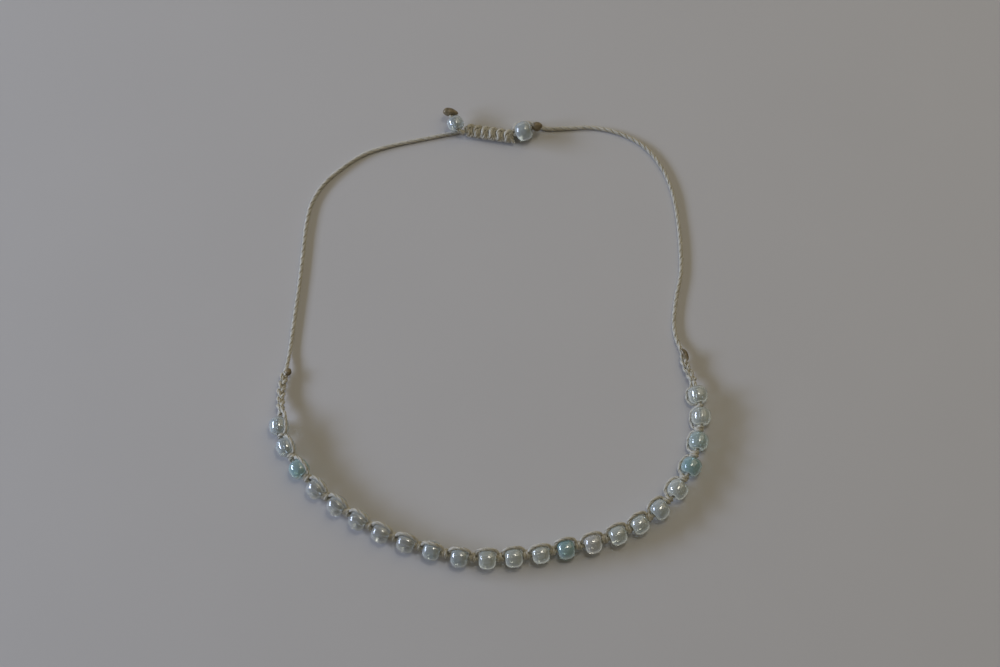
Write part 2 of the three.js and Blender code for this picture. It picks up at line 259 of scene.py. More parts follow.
class CordSettings(bpy.types.PropertyGroup):
    """The twisted cord."""

    diameter: bpy.props.FloatProperty(
        name="Diameter", description="Thickness of the cord", default=0.85 * MM, unit="LENGTH")
    lay: bpy.props.FloatProperty(
        name="Lay", description="Length of one turn of the two plies", default=3.1 * MM, unit="LENGTH")
    step: bpy.props.FloatProperty(
        name="Step", description="Length of one ring of the mesh", default=0.21 * MM, unit="LENGTH")
    sides: bpy.props.IntProperty(
        name="Sides", description="Corners of a ply's section", default=10, min=6)
    light: bpy.props.FloatVectorProperty(
        name="Light fibres", description="Colour on top of the plies", subtype="COLOR", size=3,
        default=(0.83, 0.80, 0.70))
    # Painted shade: the colour of the grooves between the fibres, darker as shadow would make them
    dark: bpy.props.FloatVectorProperty(
        name="Painted groove shade", description="Colour between the fibres", subtype="COLOR", size=3,
        default=(0.44, 0.41, 0.31))
    melted: bpy.props.FloatVectorProperty(
        name="Melted cord", description="Colour of the melted ends", subtype="COLOR", size=3,
        default=(0.255, 0.223, 0.155))


class BeadSettings(bpy.types.PropertyGroup):
    """The drilled glass beads."""

    diameter: bpy.props.FloatProperty(
        name="Diameter", description="Across the bead", default=4.0 * MM, unit="LENGTH")
    length: bpy.props.FloatProperty(
        name="Length", description="Along the hole", default=3.4 * MM, unit="LENGTH")
    hole: bpy.props.FloatProperty(
        name="Hole", description="Across the hole", default=1.0 * MM, unit="LENGTH")
    sides: bpy.props.IntProperty(
        name="Sides", description="Corners around the bead", default=64, min=24)
    uneven: bpy.props.FloatProperty(
        name="Uneven", description="How much beads differ in size", default=0.03, subtype="FACTOR")


class KnotSettings(bpy.types.PropertyGroup):
    """The knots between the beads and the sliding knot."""

    turn_radius: bpy.props.FloatProperty(
        name="Turn radius", description="From the thread to the middle of a turn", default=0.58 * MM,
        unit="LENGTH")
    turn_pitch: bpy.props.FloatProperty(
        name="Turn pitch", description="From one turn to the next", default=0.56 * MM, unit="LENGTH")
    lift: bpy.props.FloatProperty(
        name="Lift", description="From the thread to the knot's middle", default=0.25 * MM,
        unit="LENGTH")
    squeeze: bpy.props.FloatProperty(
        name="Squeeze", description="Share of its thickness that tight cord keeps", default=0.8,
        subtype="FACTOR")
    slide_knots: bpy.props.IntProperty(
        name="Square knots", description="In the sliding knot", default=6, min=1)
    slide_half_width: bpy.props.FloatProperty(
        name="Sliding knot's half width", description="To the middle of its outer cords",
        default=1.03 * MM, unit="LENGTH")
    slide_half_height: bpy.props.FloatProperty(
        name="Sliding knot's half height", description="To the middle of its upper cords",
        default=0.84 * MM, unit="LENGTH")


class StageSettings(bpy.types.PropertyGroup):
    """The table and the light."""

    floor: bpy.props.FloatVectorProperty(
        name="Table", description="Colour of the table", subtype="COLOR", size=3,
        default=(0.60, 0.592, 0.588))
    brightness: bpy.props.FloatProperty(
        name="Brightness", description="Scales all the lights", default=1.0, min=0.0)
    sky: bpy.props.FloatVectorProperty(
        name="Room", description="Colour of the light all round", subtype="COLOR", size=3,
        default=(0.096, 0.080, 0.054))


# Lines and meshes


def smooth(points, step):
    """A centripetal Catmull-Rom curve through the points, as points a step apart. Columns after
    the third, such as a thickness, are carried along."""
    given = np.array(points, float)
    ends = [2 * given[0] - given[1]], [2 * given[-1] - given[-2]]
    p = np.concatenate([ends[0], given, ends[1]])
    fine = []
    for k in range(1, len(p) - 2):
        row = p[k - 1:k + 3]
        chords = np.linalg.norm(np.diff(row[:, :3], axis=0), axis=1)
        knots = np.concatenate([[0], np.cumsum(chords ** 0.5)])
        count = max(2, math.ceil(np.linalg.norm(row[2, :3] - row[1, :3]) / step) * 3)
        t = np.linspace(knots[1], knots[2], count, endpoint=False)[:, None]
        a = [((knots[i + 1] - t) * row[i] + (t - knots[i]) * row[i + 1]) / (knots[i + 1] - knots[i])
             for i in range(3)]
        b = [((knots[i + 2] - t) * a[i] + (t - knots[i]) * a[i + 1]) / (knots[i + 2] - knots[i])
             for i in range(2)]
        fine.append(((knots[2] - t) * b[0] + (t - knots[1]) * b[1]) / (knots[2] - knots[1]))
    line = np.concatenate([*fine, given[-1:]])
    return resample(line, step)


def lengths(line):
    """Distance along the line to each of its points."""
    return np.concatenate([[0], np.cumsum(np.linalg.norm(np.diff(line[:, :3], axis=0), axis=1))])


def resample(line, step):
    """The same line with its points evenly spaced, about a step apart."""
    along = lengths(line)
    count = max(2, round(along[-1] / step) + 1)
    at = np.linspace(0, along[-1], count)
    return np.stack([np.interp(at, along, line[:, k]) for k in range(line.shape[1])], axis=1)


def unit(v):
    return v / np.linalg.norm(v, axis=-1, keepdims=True)


def sides_of(line):
    """Two directions across each point of a line that turn as little as they can."""
    tangent = unit(np.gradient(line[:, :3], axis=0))
    across = np.zeros_like(tangent)
    first = np.cross(tangent[0], (0, 0, 1))
    across[0] = unit(first) if np.linalg.norm(first) > 0.01 else (1, 0, 0)
    for k in range(1, len(tangent)):
        v = across[k - 1] - tangent[k] * np.dot(across[k - 1], tangent[k])
        across[k] = v / np.linalg.norm(v)
    return across, np.cross(tangent, across)


class Maker:
    """Gathers closed tubes and turned rings into one mesh with a UV map: u is the length in
    millimetres, or a mark for each ring, and v the share of the way round."""

    def __init__(self):
        self.points = []
        self.faces = []
        self.uvs = []
        self.count = 0

    def add_grid(self, rings, us, closed):
        """Rings of points joined by quads, with flat ends unless the row of rings is closed."""
        rows, sides = rings.shape[:2]
        self.points.append(rings.reshape(-1, 3))
        i, j = np.meshgrid(np.arange(rows if closed else rows - 1), np.arange(sides), indexing="ij")
        i, j = i.ravel(), j.ravel()
        below, beside = (i + 1) % rows, (j + 1) % sides
        quads = np.stack([i * sides + j, i * sides + beside,
                          below * sides + beside, below * sides + j], 1)
        self.faces.extend((quads + self.count).tolist())
        u0, u1 = us[i], us[i + 1]
        v0, v1 = j / sides, (j + 1) / sides
        self.uvs.append(np.stack([u0, v0, u0, v1, u1, v1, u1, v0], 1).reshape(-1, 2))
        if not closed:
            for row, order in ((0, range(sides - 1, -1, -1)), (rows - 1, range(sides))):
                self.faces.append([self.count + row * sides + k for k in order])
                self.uvs.append(np.tile([us[row], 0.0], (sides, 1)))
        self.count += rows * sides

    def add_tube(self, line, first, second, sides):
        """A tube whose oval section is given by its two half axes at each point."""
        turn = 2 * math.pi * np.arange(sides) / sides
        cos, sin = np.cos(turn)[None, :, None], np.sin(turn)[None, :, None]
        ring = first[:, None] * cos + second[:, None] * sin
        self.add_grid(line[:, None, :3] + ring, lengths(line) / MM, False)

    def build(self, name, material):
        """The gathered mesh as one piece of the scene."""
        mesh = bpy.data.meshes.new(name)
        mesh.from_pydata(np.concatenate(self.points).tolist(), [], self.faces)
        layer = mesh.uv_layers.new(name="lay")
        layer.data.foreach_set("uv", np.concatenate(self.uvs).ravel())
        mesh.polygons.foreach_set("use_smooth", [True] * len(mesh.polygons))
        mesh.materials.append(material)
        mesh.validate()
        piece = bpy.data.objects.new(name, mesh)
        bpy.context.scene.collection.objects.link(piece)
        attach(piece, BODY)
        return piece


def lay_cord(maker, line, seed):
    """Two plies twisted together along a line. A fourth column of the line scales its thickness."""
    cord = bpy.context.scene.bracelet_cord
    draw = random.Random(seed)
    line = resample(line, cord.step)
    along = lengths(line)
    scale = line[:, 3] if line.shape[1] > 3 else np.ones(len(line))
    across, up = sides_of(line)
    wander = sum(WANDER * np.sin(along / (k * WANDER_LENGTH * MM) + draw.uniform(0, 6.28))
                 for k in (1, 2, 5))
    size = (cord.diameter * scale * (1 + wander))[:, None]
    start = draw.uniform(0, 2 * math.pi)
    for ply in range(2):
        turn = (start + math.pi * ply + 2 * math.pi * along / cord.lay)[:, None]
        outward = across * np.cos(turn) + up * np.sin(turn)
        beside_it = up * np.cos(turn) - across * np.sin(turn)
        middle = line[:, :3] + PLY["offset"] * size * outward
        maker.add_tube(middle, PLY["outward"] * size * outward, PLY["across"] * size * beside_it,
                       cord.sides)


# The row of beads


def box_middle(node):
    """Middle of a solid's box."""
    low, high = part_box(node)
    return np.array((low + high) / 2)


def bead_axis():
    """Middles of the beads, with one point more before and after them."""
    middles = [box_middle(f"bead_{k:02d}") for k in range(1, BEADS + 1)]
    first = 2 * (np.array(LEFT_BRAID_ROUTE[0]) + SHIFT) - middles[0]
    last = 2 * (np.array(RIGHT_BRAID_ROUTE[0]) + SHIFT) - middles[-1]
    return np.array([first, *middles, last])


AXIS = bead_axis()


def station(number):
    """Point, direction, inward direction and pitch at a place on the row. Whole numbers are
    beads, and halves are knots."""
    k = min(max(int(math.floor(number)), 0), len(AXIS) - 2)
    t = number - k
    p1, p2 = AXIS[k], AXIS[k + 1]
    m1 = (p2 - AXIS[k - 1]) / 2 if k > 0 else p2 - p1
    m2 = (AXIS[k + 2] - p1) / 2 if k + 2 < len(AXIS) else p2 - p1
    h = (2 * t**3 - 3 * t**2 + 1, t**3 - 2 * t**2 + t, -2 * t**3 + 3 * t**2, t**3 - t**2)
    g = (6 * t**2 - 6 * t, 3 * t**2 - 4 * t + 1, -6 * t**2 + 6 * t, 3 * t**2 - 2 * t)
    point = h[0] * p1 + h[1] * m1 + h[2] * p2 + h[3] * m2
    tangent = g[0] * p1 + g[1] * m1 + g[2] * p2 + g[3] * m2
    inward = unit(np.array((-tangent[1], tangent[0], 0.0)))
    return point, unit(tangent), inward, float(np.linalg.norm(p2 - p1))


def beside(number, along, out, roll):
    """A point near the row: so far along from a place on it, and so far out from its axis."""
    pitch = station(number)[3]
    point, _, inward, _ = station(number + along / pitch)
    return point + out * (math.cos(roll) * inward + math.sin(roll) * np.array((0, 0, 1)))


def roll_at(number):
    """How far the passing strand has rolled up at a bead."""
    return math.radians(np.interp(number, list(ROLL), list(ROLL.values())))


def passing_strand():
    """The strand that passes each bead and turns once or twice round the thread in each knot. The
    fourth column is its thickness."""
    knots = bpy.context.scene.bracelet_knots
    beads = bpy.context.scene.bracelet_beads
    radius = beads.diameter / 2
    draw = random.Random(11)
    rolls = [roll_at(k) + math.radians(draw.uniform(-5, 5)) for k in range(1, BEADS + 1)]
    points = [(*beside(0.5, -END_ALONG, END_OUT, rolls[0]), END_THICKNESS)]
    for bead in range(1, BEADS + 1):
        roll = rolls[bead - 1]
        lift = draw.uniform(-0.02, 0.03)
        sway = math.radians(draw.uniform(-4, 4))
        for along, out in ARCH:
            high = out + lift * (1 - abs(along))
            bend = sway * (1 - along ** 2)
            points.append((*beside(bead, along * radius, high * radius, roll + bend),
                           PASSING_THICKNESS))
        if bead == BEADS:
            break
        pitch = station(bead + 0.01)[3]
        gap = pitch - beads.length
        turns = 2 if gap > TWO_TURNS_GAP else 1
        reach = min(turns * knots.turn_pitch, gap - knots.squeeze * 0.8 * MM)
        sweep = rolls[bead] - roll + 2 * math.pi * turns
        bulge = draw.uniform(*BULGE) * MM
        steps = 10 * turns + 1
        for k in range(1, steps):
            share = k / steps
            angle = roll + sweep * share
            way = share * turns
            stride = (way - DWELL * math.sin(2 * math.pi * way) / (2 * math.pi)) / turns
            rise = END_RISE * max(0, abs(share - 0.5) * 2 - 0.7)
            out = knots.turn_radius + rise + bulge * max(0, math.cos(angle - roll)) ** 2
            turn = beside(bead + 0.5, (stride - 0.5) * reach, out, angle)
            middle = station(bead + 0.5)[0]
            lifted = beside(bead + 0.5, 0, knots.lift, (roll + rolls[bead]) / 2) - middle
            points.append((*(turn + lifted), knots.squeeze))
    points.append((*beside(BEADS + 0.5, END_ALONG, END_OUT, rolls[-1]), END_THICKNESS))
    return points


# Materials


def new_group(name, inputs, outputs):
    """A shader node group with named sockets: inputs are (name, kind, default)."""
    group = bpy.data.node_groups.new(name, "ShaderNodeTree")
    for label, kind, default in inputs:
        socket = group.interface.new_socket(name=label, in_out="INPUT", socket_type=kind)
        if default is not None:
            socket.default_value = default
    for label, kind in outputs:
        group.interface.new_socket(name=label, in_out="OUTPUT", socket_type=kind)
    given = group.nodes.new("NodeGroupInput")
    result = group.nodes.new("NodeGroupOutput")
    return group, given, result


def set_inputs(node, values):
    """Sets a node's sockets by name."""
    for label, value in values.items():
        node.inputs[label].default_value = value


def math_node(tree, operation, *values):
    """A math node fed with numbers and sockets, as its output."""
    node = tree.nodes.new("ShaderNodeMath")
    node.operation = operation
    for socket, value in zip(node.inputs, values):
        if isinstance(value, (int, float)):
            socket.default_value = value
        else:
            tree.links.new(value, socket)
    return node.outputs[0]


def mix_colour(tree, factor, a, b):
    """Colour a where the factor is 0, and b where it is 1."""
    node = tree.nodes.new("ShaderNodeMix")
    node.data_type = "RGBA"
    for index, value in ((0, factor), (6, a), (7, b)):
        if isinstance(value, (int, float, tuple)):
            node.inputs[index].default_value = value
        else:
            tree.links.new(value, node.inputs[index])
    return node.outputs[2]


def noise(tree, scale, detail, coordinates):
    """A noise texture's value, at a scale and a detail."""
    node = tree.nodes.new("ShaderNodeTexNoise")
    set_inputs(node, {"Scale": scale, "Detail": detail})
    tree.links.new(coordinates, node.inputs["Vector"])
    return node.outputs["Fac"]


def fibres_group():
    """Fibres that run round a ply: a colour, a height and a roughness from the cord's UV map. The colour
    takes the dark input in the grooves, as painted shade, and shifts in random patches.
    """
    name = "Twisted fibres"
    if name in bpy.data.node_groups:
        return bpy.data.node_groups[name]
    colour, number = "NodeSocketColor", "NodeSocketFloat"
    group, given, result = new_group(name, [
        ("Light", colour, (0.5, 0.5, 0.5, 1)),
        ("Dark", colour, (0.1, 0.1, 0.1, 1)),
        ("Fibres round", number, 9.0),
        ("Turn length", number, 2.6),
        ("Unevenness", number, 0.5),
    ], [("Colour", colour), ("Height", number), ("Roughness", number)])
    lay = group.nodes.new("ShaderNodeUVMap")
    lay.uv_map = "lay"
    parts = group.nodes.new("ShaderNodeSeparateXYZ")
    group.links.new(lay.outputs[0], parts.inputs[0])
    place = group.nodes.new("ShaderNodeTexCoord").outputs["Object"]
    coarse = noise(group, 900, 2, place)
    fine = noise(group, 9000, 2, place)

    def calc(operation, *values):
        return math_node(group, operation, *values)

    along = calc("DIVIDE", parts.outputs["X"], given.outputs["Turn length"])
    shaken = calc("ADD", parts.outputs["Y"], along)
    shift = calc("MULTIPLY", calc("SUBTRACT", coarse, 0.5), 0.12)
    phase = calc("MULTIPLY", calc("ADD", shaken, shift), given.outputs["Fibres round"])
    wave = calc("SINE", calc("MULTIPLY", phase, 2 * math.pi))
    ridge = calc("ADD", calc("MULTIPLY", wave, 0.5), 0.5)
    grain = calc("MULTIPLY", calc("SUBTRACT", fine, 0.5), given.outputs["Unevenness"])
    height = calc("ADD", ridge, grain)
    patch = calc("MULTIPLY", calc("SUBTRACT", coarse, 0.42), 0.9)
    limited = group.nodes.new("ShaderNodeClamp")
    group.links.new(calc("ADD", calc("MULTIPLY", height, 0.65), patch), limited.inputs[0])
    # Painted shade: low parts of the height take the dark colour, and the patches vary the tone at
    # random
    tone = mix_colour(group, limited.outputs[0], given.outputs["Dark"], given.outputs["Light"])
    rough = calc("SUBTRACT", 0.56, calc("MULTIPLY", height, 0.2))
    for label, value in (("Colour", tone), ("Height", height), ("Roughness", rough)):
        group.links.new(value, result.inputs[label])
    return group


def mottle_group():
    """Two colours that pass into each other in soft patches, with a height and a roughness."""
    name = "Soft mottle"
    if name in bpy.data.node_groups:
        return bpy.data.node_groups[name]
    colour, number = "NodeSocketColor", "NodeSocketFloat"
    group, given, result = new_group(name, [
        ("First", colour, (0.5, 0.5, 0.5, 1)),
        ("Second", colour, (0.4, 0.4, 0.4, 1)),
        ("Scale", number, 500.0),
        ("Contrast", number, 1.0),
        ("Smooth", number, 0.1),
        ("Rough", number, 0.2),
    ], [("Colour", colour), ("Height", number), ("Roughness", number)])
    place = group.nodes.new("ShaderNodeTexCoord").outputs["Object"]
    cloud = group.nodes.new("ShaderNodeTexNoise")
    cloud.inputs["Detail"].default_value = 3
    group.links.new(place, cloud.inputs["Vector"])
    group.links.new(given.outputs["Scale"], cloud.inputs["Scale"])
    spread = math_node(group, "MULTIPLY", math_node(group, "SUBTRACT", cloud.outputs["Fac"], 0.5),
                       given.outputs["Contrast"])
    limited = group.nodes.new("ShaderNodeClamp")
    group.links.new(math_node(group, "ADD", spread, 0.5), limited.inputs[0])
    share = limited.outputs[0]
    tone = mix_colour(group, share, given.outputs["First"], given.outputs["Second"])
    span = math_node(group, "SUBTRACT", given.outputs["Rough"], given.outputs["Smooth"])
    rough = math_node(group, "ADD", given.outputs["Smooth"], math_node(group, "MULTIPLY", share, span))
    for label, value in (("Colour", tone), ("Height", share), ("Roughness", rough)):
        group.links.new(value, result.inputs[label])
    return group


def new_material(name):
    """An empty material with one Principled shader: (material, tree, shader)."""
    material = bpy.data.materials.new(name)
    material.use_nodes = True
    tree = material.node_tree
    return material, tree, tree.nodes["Principled BSDF"]


def place_group(tree, group, **values):
    """A node group in a material, with its sockets set by name."""
    node = tree.nodes.new("ShaderNodeGroup")
    node.node_tree = group
    for label, value in values.items():
        node.inputs[label.replace("_", " ")].default_value = value
    return node


def wire(tree, group, shader, strength, distance):
    """Sends a group's colour, roughness and height to the shader."""
    tree.links.new(group.outputs["Colour"], shader.inputs["Base Color"])
    tree.links.new(group.outputs["Roughness"], shader.inputs["Roughness"])
    bump = tree.nodes.new("ShaderNodeBump")
    set_inputs(bump, {"Strength": strength, "Distance": distance})
    tree.links.new(group.outputs["Height"], bump.inputs["Height"])
    tree.links.new(bump.outputs[0], shader.inputs["Normal"])


def cord_material():
    """Waxed cord: fibres that wind round each ply, with painted shade in the grooves between them."""
    name = "waxed_cord"
    if name in bpy.data.materials:
        return bpy.data.materials[name]
    cord = bpy.context.scene.bracelet_cord
    material, tree, shader = new_material(name)
    fibres = place_group(tree, fibres_group(), Light=(*cord.light, 1), Dark=(*cord.dark, 1),
                         Fibres_round=8.0, Turn_length=-2.4, Unevenness=0.7)
    wire(tree, fibres, shader, 0.6, 0.05 * MM)
    set_inputs(shader, {
        "Specular IOR Level": 0.9,
        "Sheen Weight": 0.25,
        "Sheen Roughness": 0.5,
        "Sheen Tint": (1.0, 0.95, 0.86, 1),
    })
    return material


def melted_material():
    """Cord melted to a brown, glossy lump."""
    name = "hardened_cord"
    if name in bpy.data.materials:
        return bpy.data.materials[name]
    cord = bpy.context.scene.bracelet_cord
    material, tree, shader = new_material(name)
    dark = tuple(0.45 * c for c in cord.melted)
    mottle = place_group(tree, mottle_group(), First=(*dark, 1), Second=(*cord.melted, 1), Scale=1100.0,
                         Contrast=3.0, Smooth=0.22, Rough=0.5)
    wire(tree, mottle, shader, 0.5, 0.12 * MM)
    set_inputs(shader, {
        "Specular IOR Level": 0.6,
        "Specular Tint": (1.0, 0.80, 0.55, 1),
        "Coat Weight": 0.35,
        "Coat Roughness": 0.15,
        "Coat Tint": (1.0, 0.87, 0.64, 1),
    })
    return material


def hole_mask(tree):
    """1 on the wall of a bead's hole, where its UV map says so, and 0 elsewhere."""
    lay = tree.nodes.new("ShaderNodeUVMap")
    lay.uv_map = "lay"
    parts = tree.nodes.new("ShaderNodeSeparateXYZ")
    tree.links.new(lay.outputs[0], parts.inputs[0])
    return math_node(tree, "GREATER_THAN", parts.outputs["X"], HOLE_MARK / 2)


def fade(tree, value, start, end):
    """Rises softly from 0 at start to 1 at end."""
    node = tree.nodes.new("ShaderNodeMapRange")
    node.interpolation_type = "SMOOTHSTEP"
    tree.links.new(value, node.inputs["Value"])
    set_inputs(node, {"From Min": start, "From Max": end})
    return node.outputs[0]


def painted_rim_mask(tree):
    """The line inside the outline, on the front and the sides of a bead, where painted light makes the
    glass bright.
    """
    facing = tree.nodes.new("ShaderNodeLayerWeight")
    facing.inputs["Blend"].default_value = 0.5
    away = facing.outputs["Facing"]
    line = math_node(tree, "MULTIPLY", fade(tree, away, *PAINTED_RIM_SPAN[:2]), fade(tree, away, PAINTED_RIM_SPAN[3], PAINTED_RIM_SPAN[2]))
    parts = tree.nodes.new("ShaderNodeSeparateXYZ")
    tree.links.new(tree.nodes.new("ShaderNodeTexCoord").outputs["Normal"], parts.inputs[0])
    return math_node(tree, "MULTIPLY", line, fade(tree, parts.outputs["Y"], 0.25, -0.5))


def glass_material(tint):
    """Glass with a lustre, painted light that brightens a line inside its outline and faintly the whole
    bead, and a rough hole wall coloured with painted shade.
    """
    name = f"glass_{tint}"
    if name in bpy.data.materials:
        return bpy.data.materials[name]
    look = GLASS[tint]
    material, tree, shader = new_material(name)
    mottle = place_group(tree, mottle_group(), First=(*look["first"], 1), Second=(*look["second"], 1),
                         Scale=420.0, Contrast=2.2, Smooth=0.03, Rough=0.10)
    wire(tree, mottle, shader, 0.08, 0.08 * MM)
    hole = hole_mask(tree)
    # Painted shade on the wall of the hole
    colour = mix_colour(tree, hole, mottle.outputs["Colour"], HOLE_PAINTED_SHADE)
    tree.links.new(colour, shader.inputs["Base Color"])
    hole_rough = math_node(tree, "MULTIPLY", hole, 0.5)
    rough = math_node(tree, "MAXIMUM", mottle.outputs["Roughness"], hole_rough)
    tree.links.new(rough, shader.inputs["Roughness"])
    outside = math_node(tree, "SUBTRACT", 1.0, hole)
    # Painted light: emission, bright in the line inside the outline and faint elsewhere on the glass
    rim = math_node(tree, "MULTIPLY", painted_rim_mask(tree), outside)
    painted_glow = mix_colour(tree, rim, PAINTED_BODY_GLOW, PAINTED_RIM_LIGHT)
    tree.links.new(painted_glow, shader.inputs["Emission Color"])
    set_inputs(shader, {
        "Emission Strength": look["painted_glow"],
        "Transmission Weight": look["clear"],
        "IOR": GLASS_INDEX,
        "Coat Weight": 1.0,
        "Coat Roughness": 0.03,
        "Coat IOR": LUSTRE_INDEX,
    })
    return material


# Pieces


def bead_rings(diameter, length, hole, sides, seed):
    """The turned skin of a bead along +X, as closed rows of rings, a little uneven, and a mark for
    each row that tells the hole's wall from the rest."""
    draw = random.Random(seed)
    radius, half = diameter / 2, length / 2
    reach = half * BARREL["reach"]

    def curve(x):
        return radius * (1 - (abs(x) / reach) ** BARREL["power"]) ** 0.5

    flat = curve(half)
    lip = BARREL["lip"] * (flat - hole / 2)
    share = np.sin(np.linspace(-0.5, 0.5, 25) * math.pi)
    outer = [(x, curve(x)) for x in share * (half - lip * 0.35)]
    turn = np.linspace(0.15, 1, 6) * math.pi / 2
    right = [(half - lip + lip * math.cos(a), hole / 2 + lip * (1 - math.sin(a))) for a in turn]
    middle = (flat + hole / 2) / 2
    face = [(half - 0.12 * lip, middle + 0.6 * lip), (half, middle)]
    bore = [(x * (half - lip), hole / 2) for x in np.linspace(0.7, -0.7, 7)]
    left = [(-x, r) for x, r in [*face, *right]][::-1]
    profile = np.array([*outer, *face, *right, *bore, *left])
    marks = np.zeros(len(profile) + 1)
    start = len(outer) + len(face) + len(right)
    marks[start - 1:start + len(bore) + 1] = HOLE_MARK
    angle = 2 * math.pi * np.arange(sides) / sides
    lobes = [(draw.uniform(0.003, 0.009), k, draw.uniform(0, 6.28)) for k in (2, 3, 5)]
    uneven = 1 + sum(size * np.cos(k * angle + start) for size, k, start in lobes)
    skew = draw.uniform(-0.02, 0.02)
    x = profile[:, 0, None] * (1 + skew * np.cos(angle)[None, :])
    r = profile[:, 1, None] * uneven[None, :]
    return np.stack([x, r * np.cos(angle)[None, :], r * np.sin(angle)[None, :]], axis=2), marks


def add_bead(name, node, middle, direction, tint, size, seed):
    """A glass bead in place of its solid, with its hole along the direction."""
    beads = bpy.context.scene.bracelet_beads
    draw = random.Random(seed)
    diameter = beads.diameter * size * (1 + draw.uniform(-beads.uneven, beads.uneven * 0.3))
    length = beads.length * min(size, 1) * (1 + draw.uniform(-beads.uneven, 0))
    rings, marks = bead_rings(diameter, length, beads.hole, beads.sides, seed)
    along = unit(np.array(direction, float))
    across = unit(np.cross((0, 0, 1), along))
    placed = rings @ np.stack([along, across, np.cross(along, across)]) + middle
    # It stands no lower than its solid
    placed[..., 2] += max(0.0, float(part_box(node)[0][2]) - placed[..., 2].min())
    maker = Maker()
    maker.add_grid(placed, marks, True)
    piece = maker.build(name, glass_material(tint))
    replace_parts(piece, node)
    return piece


def add_lump(maker, middle, direction, size, seed, point=0.0):
    """A melted lump: a ball stretched along a direction, its skin uneven, with a point at its end."""
    draw = random.Random(seed)
    rows, sides = 22, 28
    bumps = [(unit(np.array([draw.gauss(0, 1) for _ in range(3)])),
              draw.uniform(-BUMPS["height"], BUMPS["height"])) for _ in range(BUMPS["count"])]
    angle = np.linspace(0.06, math.pi - 0.06, rows)[:, None]
    turn = 2 * math.pi * np.arange(sides)[None, :] / sides
    ball = np.stack([-np.cos(angle) * np.ones_like(turn), np.sin(angle) * np.cos(turn),
                     np.sin(angle) * np.sin(turn)], axis=2)
    swell = 1 + sum(amount * np.exp(BUMPS["sharp"] * (ball @ way - 1)) for way, amount in bumps)
    tip = point * np.exp(BUMPS["point_sharp"] * (ball[..., :1] - 1))
    along = unit(np.array(direction, float))
    across = unit(np.cross((0, 0, 1), along))
    skin = ball * (swell[..., None] + tip) * np.array(size) / 2
    placed = skin @ np.stack([along, across, np.cross(along, across)]) + middle
    maker.add_grid(placed, np.arange(rows) * 0.1, False)


def braid_lines(route):
    """Three strands plaited along a route, as lines with a thickness column."""
    line = smooth(np.array(route) + SHIFT, 0.12 * MM)
    along = lengths(line)
    tangent = unit(np.gradient(line, axis=0))
    side = unit(np.cross((0, 0, 1), tangent))
    up = np.cross(tangent, side)
    ends = np.clip(np.minimum(along + 0.3 * MM, along[-1] - along + 0.35 * MM) / (0.9 * MM), 0, 1) ** 0.5
    rows = []
    for strand in range(3):
        phase = 2 * math.pi * (along / PLAIT["period"] + strand / 3)
        middle = line + side * (PLAIT["wide"] * ends * np.sin(phase))[:, None]
        middle = middle + up * (PLAIT["high"] * ends * np.sin(2 * phase))[:, None]
        rows.append(np.column_stack([middle, np.full(len(line), PLAIT["thickness"])]))
    return rows


def look_at(origin, target):
    """The turn that points a camera or a light from one place to another."""
    return (Vector(target) - Vector(origin)).to_track_quat("-Z", "Y").to_euler()


def add_area(name, row, brightness):
    """A soft rectangular light that looks at the middle of the table."""
    a, e = math.radians(row["azimuth"]), math.radians(row["elevation"])
    way = Vector((math.cos(a) * math.cos(e), math.sin(a) * math.cos(e), math.sin(e)))
    place = LIGHT_DISTANCE * way
    light = bpy.data.lights.new(name, "AREA")
    light.shape = "RECTANGLE"
    light.size, light.size_y = row["size"]
    light.energy = row["power"] * brightness
    light.color = row["colour"]
    lamp = bpy.data.objects.new(name, light)
    lamp.location = place
    lamp.rotation_euler = look_at(place, (0, 0, 0))
    bpy.context.scene.collection.objects.link(lamp)


# Operators


class BRACELET_OT_stage(bpy.types.Operator):
    """Set the camera, the table and the light"""

    bl_idname = "bracelet.stage"
    bl_label = "Table, light and camera"

    def execute(self, context):
        stage = context.scene.bracelet_stage
        self.add_camera(context)
        self.add_table(context, stage)
        for name, light in LIGHTS.items():
            add_area(name, light, stage.brightness)
        world = bpy.data.worlds.new("room")
        world.use_nodes = True
        world.node_tree.nodes["Background"].inputs["Color"].default_value = (*stage.sky, 1)
        context.scene.world = world
        context.scene.view_settings.view_transform = "Standard"
        return {"FINISHED"}

    def add_camera(self, context):
        """The camera, at the photograph's angle."""
        elevation = math.radians(CAMERA["elevation"])
        back = Vector((0, -math.cos(elevation), math.sin(elevation)))
        target = Vector(CAMERA["target"])
        data = bpy.data.cameras.new("camera")
        data.sensor_width = SENSOR_WIDTH
        data.lens = CAMERA["focal_pixels"] / FRAME_WIDTH_PIXELS * SENSOR_WIDTH
        camera = bpy.data.objects.new("camera", data)
        camera.location = target + CAMERA["distance"] * back
        camera.rotation_euler = look_at(camera.location, target)
        context.scene.collection.objects.link(camera)
        context.scene.camera = camera

    def add_table(self, context, stage):
        """A plain pale table."""
        material, tree, shader = new_material("table")
        darker = tuple(0.965 * c for c in stage.floor)
        mottle = place_group(tree, mottle_group(), First=(*stage.floor, 1), Second=(*darker, 1),
                             Scale=30.0, Contrast=1.2, Smooth=0.75, Rough=0.85)
        wire(tree, mottle, shader, 0.05, 0.2 * MM)
        shader.inputs["Specular IOR Level"].default_value = 0.2
        mesh = bpy.data.meshes.new("table")
        half = 0.9
        mesh.from_pydata([(-half, -half, 0), (half, -half, 0), (half, half, 0), (-half, half, 0)], [],
                         [(0, 1, 2, 3)])
        mesh.materials.append(material)
        table = bpy.data.objects.new("table", mesh)
        context.scene.collection.objects.link(table)


